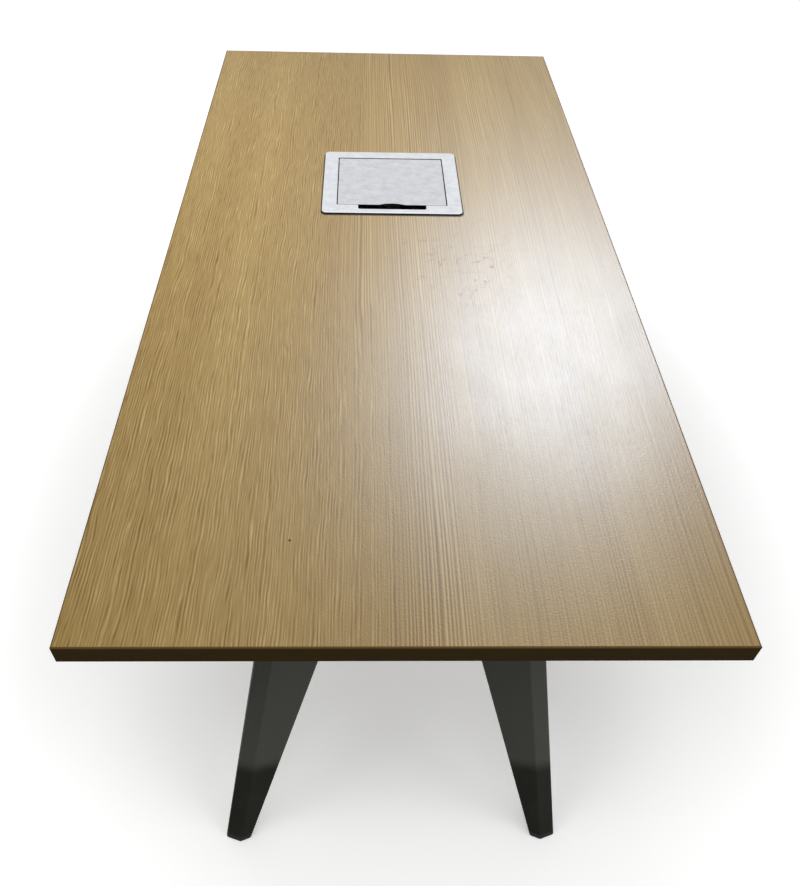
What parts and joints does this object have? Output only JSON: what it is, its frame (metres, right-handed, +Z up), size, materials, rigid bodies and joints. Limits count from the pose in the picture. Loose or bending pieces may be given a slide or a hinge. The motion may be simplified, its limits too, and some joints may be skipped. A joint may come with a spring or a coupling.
{
  "type": "conference table",
  "caption": "Rectangular meeting table with a wood-grain top, splayed folded-steel legs, levelling feet and a flip-lid wire box with a cable slot.",
  "frame": {"origin": "on the floor under the middle of the table top", "axes": "+X across the table, +Y along it towards the end with the wire box, +Z up"},
  "size_m": [0.9, 1.8, 0.7545],
  "materials": {
    "oak_laminate": "satin wood-grain laminate on board",
    "dark_band": "dark brown edge band",
    "graphite_paint": "satin graphite powder coat on sheet steel",
    "zinc_steel": "bright zinc plate",
    "satin_aluminium": "satin anodised",
    "brushed_aluminium": "satin anodised, lightly scuffed",
    "black_plastic": "fine-grained black plastic",
    "glide_plastic": "hard black plastic",
    "black_sheet": "black powder coat on sheet steel",
    "socket_plastic": "fine-grained dark plastic",
    "outlet_plastic": "off-white moulded plastic",
    "black_rubber": "black rubber"
  },
  "bodies": {
    "root": {"table_top": "oak_laminate", "edge_band_front": "dark_band", "edge_band_rear": "dark_band", "edge_band_left": "dark_band", "edge_band_right": "dark_band", "cross_beam_front": "graphite_paint", "cross_beam_rear": "graphite_paint", "rail_left": "graphite_paint", "rail_right": "graphite_paint", "beam_cap_front_left": "black_plastic", "beam_cap_front_right": "black_plastic", "beam_cap_rear_left": "black_plastic", "beam_cap_rear_right": "black_plastic", "rail_bracket_front_left": "zinc_steel", "rail_bracket_front_right": "zinc_steel", "rail_bracket_rear_left": "zinc_steel", "rail_bracket_rear_right": "zinc_steel", "bracket_bolt_front_left_beam": "zinc_steel", "bracket_bolt_front_left_rail": "zinc_steel", "bracket_bolt_front_right_beam": "zinc_steel", "bracket_bolt_front_right_rail": "zinc_steel", "bracket_bolt_rear_left_beam": "zinc_steel", "bracket_bolt_rear_left_rail": "zinc_steel", "bracket_bolt_rear_right_beam": "zinc_steel", "bracket_bolt_rear_right_rail": "zinc_steel", "top_screw_front_left": "zinc_steel", "top_screw_front_right": "zinc_steel", "top_screw_rear_left": "zinc_steel", "top_screw_rear_right": "zinc_steel", "leg_front_left": "graphite_paint", "leg_front_right": "graphite_paint", "leg_rear_left": "graphite_paint", "leg_rear_right": "graphite_paint", "leg_bolt_front_left_inner": "zinc_steel", "leg_bolt_front_left_outer": "zinc_steel", "leg_bolt_front_right_inner": "zinc_steel", "leg_bolt_front_right_outer": "zinc_steel", "leg_bolt_rear_left_inner": "zinc_steel", "leg_bolt_rear_left_outer": "zinc_steel", "leg_bolt_rear_right_inner": "zinc_steel", "leg_bolt_rear_right_outer": "zinc_steel", "foot_cap_front_left": "black_plastic", "foot_cap_front_right": "black_plastic", "foot_cap_rear_left": "black_plastic", "foot_cap_rear_right": "black_plastic", "box_bezel": "satin_aluminium", "lid_pin_left": "zinc_steel", "lid_pin_right": "zinc_steel", "cable_tray": "black_sheet", "tray_grommet": "black_rubber", "socket_block": "socket_plastic", "outlet_1": "outlet_plastic", "outlet_2": "outlet_plastic", "outlet_3": "outlet_plastic"},
    "lid": {"box_lid": "brushed_aluminium"},
    "glide_front_left": {"foot_glide_front_left": "glide_plastic"},
    "glide_front_right": {"foot_glide_front_right": "glide_plastic"},
    "glide_rear_left": {"foot_glide_rear_left": "glide_plastic"},
    "glide_rear_right": {"foot_glide_rear_right": "glide_plastic"}
  },
  "joints": [
    {"name": "lid_hinge", "type": "hinge", "parent": "root", "child": "lid", "pos_m": [0, 0.2982, 0.749], "axis": [-1, 0, 0], "range_deg": [0, 105]},
    {"name": "glide_front_left_slide", "type": "slide", "parent": "root", "child": "glide_front_left", "axis": [0, 0, -1], "range_m": [0, 0.01]},
    {"name": "glide_front_right_slide", "type": "slide", "parent": "root", "child": "glide_front_right", "axis": [0, 0, -1], "range_m": [0, 0.01]},
    {"name": "glide_rear_left_slide", "type": "slide", "parent": "root", "child": "glide_rear_left", "axis": [0, 0, -1], "range_m": [0, 0.01]},
    {"name": "glide_rear_right_slide", "type": "slide", "parent": "root", "child": "glide_rear_right", "axis": [0, 0, -1], "range_m": [0, 0.01]}
  ]
}
